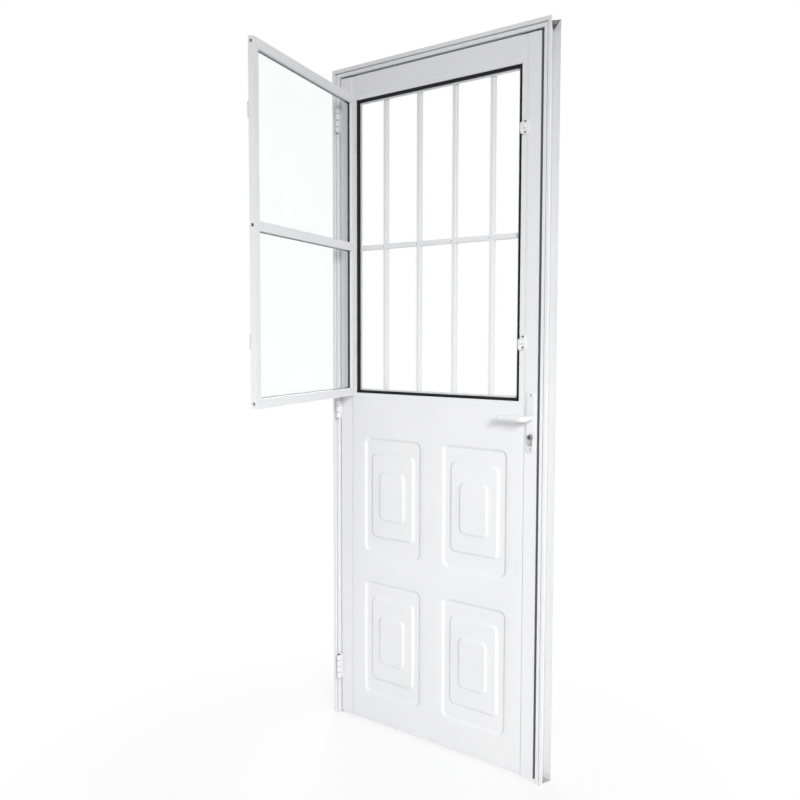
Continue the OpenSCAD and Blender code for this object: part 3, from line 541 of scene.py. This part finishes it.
def outlineDistance(x, z, width, height, radius):
    overX = np.abs(x) - width / 2 + radius
    overZ = np.abs(z) - height / 2 + radius
    outside = np.hypot(np.maximum(overX, 0), np.maximum(overZ, 0))
    return outside + np.minimum(np.maximum(overX, overZ), 0) - radius


def easeAcross(distance):
    share = np.clip(distance / press["slope"], 0, 1)
    return share * share * (3 - 2 * share)


def fieldSizes():
    width, height = press["fieldSize"]
    ringX, ringZ = press["ring"]
    slope = press["slope"]
    sunk = (width - 2 * slope, height - 2 * slope)
    middle = (width - 2 * ringX, height - 2 * ringZ)
    inner = (width - 4 * ringX, height - 4 * ringZ)
    return sunk, middle, inner


def pressedLevel(x, z):
    level = np.zeros_like(x)
    sunk, middle, inner = fieldSizes()
    radius = press["cornerRadius"]
    for column in (-0.5, 0.5):
        for row in (0, 1):
            atX = x - press["middleX"] - column * press["pitch"][0]
            atZ = z - press["lowFieldZ"] - row * press["pitch"][1]
            ring = 1 - easeAcross(outlineDistance(atX, atZ, *sunk, radius))
            keep = easeAcross(outlineDistance(atX, atZ, *middle, radius))
            block = 1 - easeAcross(outlineDistance(atX, atZ, *inner, radius))
            level += press["ringDepth"] * ring * keep - press["blockRise"] * block
    return level


def rolledEdge(x, z, low, high):
    width, drop = press["edgeRoll"]
    inside = np.minimum(np.minimum(x - low.x, high.x - x), np.minimum(z - low.z, high.z - z))
    return drop * np.clip(1 - inside / width, 0, 1) ** 2


def gridLines(low, high, centres, halves):
    rolls = [press["edgeRoll"][0] * share for share in press["rollShares"]]
    lines = [line for roll in rolls for line in (low + roll, high - roll)]
    steps = press["slopeSteps"]
    offsets = [step * press["slope"] / steps for step in range(1, steps + 1)]
    for step in range(press["cornerSteps"] + 1):
        offsets.append(-step * press["slope"] / steps * press["cornerStretch"])
    for centre in centres:
        for half in halves:
            for side in (-1, 1):
                lines += [centre + side * (half + offset) for offset in offsets]
    lines = sorted({round(line, press["decimals"]) for line in lines})
    lines = [line for line in lines if low - press["slack"] <= line <= high + press["slack"]]
    filled = [lines[0]]
    for line in lines[1:]:
        last = filled[-1]
        gap = line - last
        parts = max(1, math.ceil(gap / press["widest"]))
        if gap > press["narrowest"]:
            filled.extend([last + gap * part / parts for part in range(1, parts + 1)])
    filled[-1] = lines[-1]
    return np.array(filled)


def pressSheet(nodeName, facing):
    low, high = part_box(nodeName)
    sunk, middle, inner = fieldSizes()
    columns = [press["middleX"] + side * press["pitch"][0] / 2 for side in (-1, 1)]
    rows = [press["lowFieldZ"] + row * press["pitch"][1] for row in (0, 1)]
    xs = gridLines(low.x, high.x, columns, [size[0] / 2 for size in (sunk, middle, inner)])
    zs = gridLines(low.z, high.z, rows, [size[1] / 2 for size in (sunk, middle, inner)])
    x, z = np.meshgrid(xs, zs)
    deepest = press["ringDepth"] + press["thickness"]
    rim = high.y - deepest if facing < 0 else low.y + deepest
    front = rim - facing * (pressedLevel(x, z) + rolledEdge(x, z, low, high))
    back = front - facing * press["thickness"]
    count = x.size
    points = np.concatenate([np.stack([x, y, z], -1).reshape(-1, 3) for y in (front, back)])
    wide, tall = len(xs), len(zs)
    corner = (np.arange(tall - 1)[:, None] * wide + np.arange(wide - 1)).ravel()
    fronts = np.stack([corner, corner + 1, corner + wide + 1, corner + wide], -1)
    backs = fronts[:, ::-1] + count
    border = list(range(wide)) + [row * wide + wide - 1 for row in range(1, tall)]
    border += [(tall - 1) * wide + column for column in range(wide - 2, -1, -1)]
    border += [row * wide for row in range(tall - 2, 0, -1)]
    rims = [(a, a + count, b + count, b) for a, b in zip(border, border[1:] + border[:1])]
    faces = fronts.tolist() + backs.tolist() + rims
    if facing > 0:
        faces = [face[::-1] for face in faces]
    mesh = bpy.data.meshes.new(pieceName(nodeName))
    mesh.from_pydata(points.tolist(), [], faces)
    mesh.polygons.foreach_set("use_smooth", [True] * (len(fronts) + len(backs)) + [False] * len(rims))
    mesh.set_sharp_from_angle(angle=softAngle)
    finishPiece(mesh, pieceName(nodeName), coatSheet, bodyOf[nodeName], slotOf[nodeName], nodeName)
    print("pressed sheet", nodeName, len(faces), "faces")


pressSheet("panel_inside", -1)
pressSheet("panel_outside", 1)


# Levers: an oval section swept out of the plate, round the elbow and along the bowed arm
lever = {
    "neckRadius": 9 * mm,
    "armHalf": (6 * mm, 9 * mm),  # across the thickness, then up
    "tipHalf": (5.2 * mm, 6.8 * mm),
    "straight": 8 * mm,
    "elbow": 13 * mm,
    "bow": 3 * mm,
    "axisZ": 1029 * mm,
    "squareness": 0.25,
    "tipEnd": 0.02,  # keeps the last ring from closing to a point
    "elbowSteps": 8,
    "armSteps": 12,
    "tipSteps": 8,
    "ringPoints": 40,
}


def quarterTurns(steps):
    return [step / steps * math.pi / 2 for step in range(1, steps + 1)]


def leverPath(low, high, side):
    length = high.x - low.x - lever["neckRadius"]
    root = high.y if side < 0 else low.y
    arm = (low.y if side < 0 else high.y) - side * lever["armHalf"][0]
    elbow = lever["elbow"]
    tip = lever["tipHalf"][1]
    path = [(0, root, 0), (0, root + side * lever["straight"], 0), (0, arm - side * elbow, 0)]
    for turn in quarterTurns(lever["elbowSteps"]):
        path.append((-elbow * (1 - math.cos(turn)), arm - side * elbow * (1 - math.sin(turn)), 0))
    steps = lever["armSteps"]
    runs = [elbow + (length - tip - elbow) * step / steps for step in range(1, steps + 1)]
    runs += [length - tip + tip * math.sin(turn) for turn in quarterTurns(lever["tipSteps"])]
    for along in runs:
        path.append((-along, arm, lever["bow"] * math.sin(math.pi * along / length)))
    return [Vector(point) for point in path], length


def signedPower(value, power):
    return math.copysign(abs(value) ** power, value)


def sweepLever(nodeName, side):
    low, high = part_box(nodeName)
    spine, length = leverPath(low, high, side)
    axis = Vector((high.x - lever["neckRadius"], 0, lever["axisZ"]))
    up = Vector((0, 0, 1))
    shape = bmesh.new()
    rings = []
    for index, point in enumerate(spine):
        before, after = spine[max(index - 1, 0)], spine[min(index + 1, len(spine) - 1)]
        ahead = (after - before).normalized()
        across = ahead.cross(up).normalized()
        share = min(max(-point.x / lever["elbow"], 0), 1)
        taper = min(max(-point.x / length, 0), 1)
        halfAcross = lever["neckRadius"] * (1 - share) + lever["armHalf"][0] * share
        halfUp = lever["neckRadius"] * (1 - share) + lever["armHalf"][1] * share
        halfAcross += (lever["tipHalf"][0] - lever["armHalf"][0]) * taper
        halfUp += (lever["tipHalf"][1] - lever["armHalf"][1]) * taper
        remaining = (length + point.x) / lever["tipHalf"][1]
        close = math.sqrt(max(1 - (1 - min(remaining, 1)) ** 2, lever["tipEnd"]))
        power = 1 - lever["squareness"] * share
        ring = []
        for part in range(lever["ringPoints"]):
            turn = 2 * math.pi * part / lever["ringPoints"]
            flat = signedPower(math.cos(turn), power) * halfAcross * close
            tall = signedPower(math.sin(turn), power) * halfUp * close
            ring.append(shape.verts.new(axis + point + across * flat + up * tall))
        rings.append(ring)
    for first, second in zip(rings, rings[1:]):
        for a in range(lever["ringPoints"]):
            b = (a + 1) % lever["ringPoints"]
            shape.faces.new((first[a], first[b], second[b], second[a]))
    shape.faces.new(rings[0][::-1])
    shape.faces.new(rings[-1])
    bmesh.ops.recalc_face_normals(shape, faces=shape.faces)
    mesh = bpy.data.meshes.new(pieceName(nodeName))
    shape.to_mesh(mesh)
    shape.free()
    mesh.polygons.foreach_set("use_smooth", [True] * len(mesh.polygons))
    mesh.set_sharp_from_angle(angle=softAngle)
    finishPiece(mesh, pieceName(nodeName), coatFitting, bodyOf[nodeName], slotOf[nodeName], nodeName)


sweepLever("lever_inside", -1)
sweepLever("lever_outside", 1)
print("levers swept")


# Screws with a cross recess, set on points by Geometry Nodes
screwShape = {
    "headPoints": 36,
    "shankPoints": 24,
    "crossArms": 4,
    "topShare": 0.78,  # of the head's radius
    "crossReach": 0.6,  # of the head's radius
    "crossWaist": 0.6,  # of the slot's width
}
unset = 0.001  # a tree's length before a modifier sets it


def addInput(tree, name, kind, value=None):
    socket = tree.interface.new_socket(name, in_out="INPUT", socket_type=kind)
    if value is not None:
        socket.default_value = value
    return socket.identifier


def makeScrewTree():
    tree = bpy.data.node_groups.new("crossScrews", "GeometryNodeTree")
    ids = {"points": addInput(tree, "points", "NodeSocketGeometry")}
    for name in ("headRadius", "headHeight", "shankRadius", "shankLength", "slotWidth", "slotDepth"):
        ids[name] = addInput(tree, name, "NodeSocketFloat", unset)
    ids["turn"] = addInput(tree, "turn", "NodeSocketVector")
    ids["finish"] = addInput(tree, "finish", "NodeSocketMaterial")
    tree.interface.new_socket("screws", in_out="OUTPUT", socket_type="NodeSocketGeometry")
    start = tree.nodes.new("NodeGroupInput")
    end = tree.nodes.new("NodeGroupOutput")
    link = tree.links.new

    def scaled(name, factor):
        node = addNode(tree, "ShaderNodeMath", {"operation": "MULTIPLY"})
        link(start.outputs[name], node.inputs[0])
        node.inputs[1].default_value = factor
        return node.outputs[0]

    def liftedBy(geometry, height):
        lift = tree.nodes.new("ShaderNodeCombineXYZ")
        link(height, lift.inputs["Z"])
        move = tree.nodes.new("GeometryNodeTransform")
        link(geometry, move.inputs["Geometry"])
        link(lift.outputs[0], move.inputs["Translation"])
        return move.outputs["Geometry"]

    def joined(*parts):
        join = tree.nodes.new("GeometryNodeJoinGeometry")
        for part in parts:
            link(part, join.inputs["Geometry"])
        return join.outputs["Geometry"]

    def filled(curve):
        fill = addNode(tree, "GeometryNodeFillCurve", {"mode": "NGONS"})
        link(curve, fill.inputs["Curve"])
        return fill.outputs["Mesh"]

    around = screwShape["headPoints"]
    rim = addNode(tree, "GeometryNodeCurvePrimitiveCircle", Resolution=around)
    link(scaled("headRadius", screwShape["topShare"]), rim.inputs["Radius"])
    cross = addNode(tree, "GeometryNodeCurveStar", Points=screwShape["crossArms"])
    link(scaled("slotWidth", screwShape["crossWaist"]), cross.inputs["Inner Radius"])
    link(scaled("headRadius", screwShape["crossReach"]), cross.inputs["Outer Radius"])
    recess = addNode(tree, "GeometryNodeExtrudeMesh", Individual=False)
    link(filled(cross.outputs["Curve"]), recess.inputs["Mesh"])
    link(scaled("slotDepth", -1.0), recess.inputs["Offset Scale"])
    top = filled(joined(rim.outputs["Curve"], cross.outputs["Curve"]))
    side = addNode(tree, "GeometryNodeMeshCone", {"fill_type": "NONE"}, Vertices=around)
    link(scaled("headRadius", screwShape["topShare"]), side.inputs["Radius Top"])
    link(start.outputs["headRadius"], side.inputs["Radius Bottom"])
    link(start.outputs["headHeight"], side.inputs["Depth"])
    seat = addNode(tree, "GeometryNodeMeshCircle", {"fill_type": "NGON"}, Vertices=around)
    link(start.outputs["headRadius"], seat.inputs["Radius"])
    under = tree.nodes.new("GeometryNodeFlipFaces")
    link(seat.outputs["Mesh"], under.inputs["Mesh"])
    face = liftedBy(joined(top, recess.outputs["Mesh"]), start.outputs["headHeight"])
    head = addNode(tree, "GeometryNodeMergeByDistance", Distance=weld)
    link(joined(face, side.outputs["Mesh"], under.outputs["Mesh"]), head.inputs["Geometry"])
    shank = addNode(tree, "GeometryNodeMeshCylinder", Vertices=screwShape["shankPoints"])
    link(start.outputs["shankRadius"], shank.inputs["Radius"])
    link(start.outputs["shankLength"], shank.inputs["Depth"])
    screw = joined(head.outputs["Geometry"], liftedBy(shank.outputs["Mesh"], scaled("shankLength", -0.5)))
    place = tree.nodes.new("GeometryNodeInstanceOnPoints")
    link(start.outputs["points"], place.inputs["Points"])
    link(screw, place.inputs["Instance"])
    link(start.outputs["turn"], place.inputs["Rotation"])
    real = tree.nodes.new("GeometryNodeRealizeInstances")
    link(place.outputs["Instances"], real.inputs["Geometry"])
    finish = tree.nodes.new("GeometryNodeSetMaterial")
    link(real.outputs["Geometry"], finish.inputs["Geometry"])
    link(start.outputs["finish"], finish.inputs["Material"])
    link(finish.outputs["Geometry"], end.inputs[0])
    return tree, ids


screwTree, screwIds = makeScrewTree()
smallScrew = {"head": (3.4, 1.2), "shank": 1.7, "slot": (0.8, 0.8), "finish": zincSteel}
screwSets = {  # "out" is where the heads face in X and Y, the rest is in mm
    "backplate_screws": {
        "out": (0, -1), "head": (4.0, 1.5), "shank": 2.0, "slot": (0.9, 0.9), "finish": zincSteel,
    },
    "latch_base_screws": {
        "out": (0, -1), "head": (2.8, 1.2), "shank": 1.6, "slot": (0.8, 0.8), "finish": darkRivet,
    },
    "hinge_frame_screws": {"out": (1, 0), **smallScrew},
    "hinge_leaf_screws": {"out": (-1, 0), **smallScrew},
    "strike_screws": {"out": (-1, 0), **smallScrew},
}


def setScrews(nodeName, values):
    outX, outY = values["out"]
    headRadius, headHeight = (size * mm for size in values["head"])
    points = []
    for low, high in islandBoxes(nodeName):
        middle = (low + high) / 2
        x = middle.x if outX == 0 else (high.x if outX > 0 else low.x)
        y = middle.y if outY == 0 else (high.y if outY > 0 else low.y)
        points.append((x - outX * headHeight, y - outY * headHeight, middle.z))
        length = (high.x - low.x if outX else high.y - low.y) - headHeight
    mesh = bpy.data.meshes.new(pieceName(nodeName))
    mesh.from_pydata(points, [], [])
    piece = bpy.data.objects.new("screwPoints", mesh)
    scene.collection.objects.link(piece)
    modifier = piece.modifiers.new("screws", "NODES")
    modifier.node_group = screwTree
    sizes = {
        "headRadius": headRadius,
        "headHeight": headHeight,
        "shankRadius": values["shank"] * mm,
        "shankLength": length,
        "slotWidth": values["slot"][0] * mm,
        "slotDepth": values["slot"][1] * mm,
        "turn": (math.pi / 2 * (outY != 0), math.pi / 2 * outX, 0),
        "finish": values["finish"],
    }
    for name, value in sizes.items():
        modifier[screwIds[name]] = value
    screws = evaluatedMesh(piece)
    screws.name = pieceName(nodeName)
    finishPiece(screws, pieceName(nodeName), values["finish"], bodyOf[nodeName], slotOf[nodeName], nodeName)
    print("screws", nodeName, len(points))


for nodeName, values in screwSets.items():
    setScrews(nodeName, values)


# Dark rivets at the grille's crossings
rivet = {"radius": 1.7 * mm, "height": 0.7 * mm, "fromEdge": 2.2 * mm, "around": 24, "rings": 12}


def makeRivetTree():
    tree = bpy.data.node_groups.new("rivetHeads", "GeometryNodeTree")
    ids = {"points": addInput(tree, "points", "NodeSocketGeometry")}
    ids["radius"] = addInput(tree, "radius", "NodeSocketFloat", unset)
    ids["flatten"] = addInput(tree, "flatten", "NodeSocketVector")
    ids["finish"] = addInput(tree, "finish", "NodeSocketMaterial")
    tree.interface.new_socket("rivets", in_out="OUTPUT", socket_type="NodeSocketGeometry")
    start = tree.nodes.new("NodeGroupInput")
    end = tree.nodes.new("NodeGroupOutput")
    link = tree.links.new
    ball = addNode(tree, "GeometryNodeMeshUVSphere", Segments=rivet["around"], Rings=rivet["rings"])
    link(start.outputs["radius"], ball.inputs["Radius"])
    place = tree.nodes.new("GeometryNodeInstanceOnPoints")
    link(start.outputs["points"], place.inputs["Points"])
    link(ball.outputs["Mesh"], place.inputs["Instance"])
    link(start.outputs["flatten"], place.inputs["Scale"])
    real = tree.nodes.new("GeometryNodeRealizeInstances")
    link(place.outputs["Instances"], real.inputs["Geometry"])
    finish = tree.nodes.new("GeometryNodeSetMaterial")
    link(real.outputs["Geometry"], finish.inputs["Geometry"])
    link(start.outputs["finish"], finish.inputs["Material"])
    link(finish.outputs["Geometry"], end.inputs[0])
    return tree, ids


def setRivets():
    crossLow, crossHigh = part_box("grille_cross_bar")
    points = []
    for bar in sorted(name for name in frame["nodes"] if name.startswith("grille_bar_")):
        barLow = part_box(bar)[0]
        points.append((barLow.x + rivet["fromEdge"], crossLow.y, (crossLow.z + crossHigh.z) / 2))
    mesh = bpy.data.meshes.new("grilleRivets")
    mesh.from_pydata(points, [], [])
    piece = bpy.data.objects.new("rivetPoints", mesh)
    scene.collection.objects.link(piece)
    modifier = piece.modifiers.new("rivets", "NODES")
    modifier.node_group, ids = makeRivetTree()
    modifier[ids["radius"]] = rivet["radius"]
    modifier[ids["flatten"]] = (1, rivet["height"] / rivet["radius"], 1)
    modifier[ids["finish"]] = darkRivet
    rivets = evaluatedMesh(piece)
    rivets.name = "grilleRivets"
    finishPiece(rivets, "grilleRivets", darkRivet, bodyOf["grille_cross_bar"], slotOf["strike_plate"])
    print("rivets", len(points))


setRivets()


# Room: a white floor that fades into the white surroundings, and soft light
room = {
    "floorSize": 30.0,
    "floorTint": (0.90, 0.90, 0.90),
    "floorRoughness": 0.9,
    "floorSpecular": 0.0,
    "fadeFrom": 0.42,
    "fadeTo": 1.15,
    "nearGlow": 0.75,
    "surroundLight": 0.42,
    "surroundTint": (0.97, 0.97, 1.0),
}


def seenDirectly(tree):
    path = tree.nodes.new("ShaderNodeLightPath")
    total = path.outputs["Is Camera Ray"]
    for name in ("Is Glossy Ray", "Is Transmission Ray"):
        either = addNode(tree, "ShaderNodeMath", {"operation": "MAXIMUM"})
        tree.links.new(total, either.inputs[0])
        tree.links.new(path.outputs[name], either.inputs[1])
        total = either.outputs[0]
    return total


def layFloor():
    low, high = cadBox
    size = room["floorSize"]
    mesh = bpy.data.meshes.new("floor")
    middle = ((low[0] + high[0]) / 2, (low[1] + high[1]) / 2)
    sides = ((-1, -1), (1, -1), (1, 1), (-1, 1))
    corners = [(middle[0] + x * size / 2, middle[1] + y * size / 2, 0) for x, y in sides]
    mesh.from_pydata(corners, [], [(0, 1, 2, 3)])
    floor = bpy.data.objects.new("floor", mesh)
    scene.collection.objects.link(floor)
    material, tree, shader = newMaterial("paleFloor")
    shader.inputs["Base Color"].default_value = (*room["floorTint"], 1)
    shader.inputs["Roughness"].default_value = room["floorRoughness"]
    shader.inputs["Specular IOR Level"].default_value = room["floorSpecular"]
    coords = tree.nodes.new("ShaderNodeTexCoord")
    centred = addNode(tree, "ShaderNodeMapping", Location=(-middle[0], -middle[1], 0))
    tree.links.new(coords.outputs["Object"], centred.inputs["Vector"])
    reach = addNode(tree, "ShaderNodeVectorMath", {"operation": "LENGTH"})
    tree.links.new(centred.outputs["Vector"], reach.inputs[0])
    fade = addNode(
        tree, "ShaderNodeMapRange", {"interpolation_type": "SMOOTHSTEP"},
        From_Min=room["fadeFrom"], From_Max=room["fadeTo"], To_Min=room["nearGlow"]
    )
    tree.links.new(reach.outputs["Value"], fade.inputs["Value"])
    both = addNode(tree, "ShaderNodeMath", {"operation": "MULTIPLY"})
    tree.links.new(fade.outputs["Result"], both.inputs[0])
    tree.links.new(seenDirectly(tree), both.inputs[1])
    glow = tree.nodes.new("ShaderNodeEmission")
    mix = tree.nodes.new("ShaderNodeMixShader")
    tree.links.new(both.outputs[0], mix.inputs["Fac"])
    tree.links.new(shader.outputs[0], mix.inputs[1])
    tree.links.new(glow.outputs[0], mix.inputs[2])
    tree.links.new(mix.outputs[0], tree.nodes["Material Output"].inputs["Surface"])
    mesh.materials.append(material)


def lightSurroundings():
    world = bpy.data.worlds.new("whiteRoom")
    scene.world = world
    world.use_nodes = True
    tree = world.node_tree
    plain = tree.nodes["Background"]
    plain.inputs["Color"].default_value = (*room["surroundTint"], 1)
    plain.inputs["Strength"].default_value = room["surroundLight"]
    white = addNode(tree, "ShaderNodeBackground", Color=(1, 1, 1, 1), Strength=1.0)
    mix = tree.nodes.new("ShaderNodeMixShader")
    tree.links.new(seenDirectly(tree), mix.inputs["Fac"])
    tree.links.new(plain.outputs[0], mix.inputs[1])
    tree.links.new(white.outputs[0], mix.inputs[2])
    tree.links.new(mix.outputs[0], tree.nodes["World Output"].inputs["Surface"])


lamps = {  # metres, the spread in degrees, watts
    "keySoft": {
        "place": (3.4, -2.4, 2.1), "aim": (0.2, 0, 0.4), "size": 1.3, "spread": 74, "power": 23.5,
    },
    "hallLow": {
        "place": (-1.3, -2.4, 0.35), "aim": (0.25, 0, 0.4), "size": 1.2, "spread": 80, "power": 1.35,
    },
    "streetSoft": {
        "place": (-2.2, 2.5, 2.2), "aim": (0.4, 0, 0.9), "size": 1.6, "spread": 100, "power": 26.0,
    },
    "overhead": {
        "place": (0.4, -0.6, 4.6), "aim": (0.4, -0.6, 0), "size": 3.5, "spread": 150, "power": 6.0,
    },
}


def hangLamp(name, values):
    data = bpy.data.lights.new(name, "AREA")
    data.shape = "DISK"
    data.size = values["size"]
    data.spread = math.radians(values["spread"])
    data.energy = values["power"]
    lamp = bpy.data.objects.new(name, data)
    lamp.location = values["place"]
    lamp.visible_camera = False
    aim = Vector(values["aim"]) - Vector(values["place"])
    lamp.rotation_euler = aim.to_track_quat("-Z", "Y").to_euler()
    scene.collection.objects.link(lamp)


layFloor()
lightSurroundings()
for name, values in lamps.items():
    hangLamp(name, values)
print("room and lamps set")
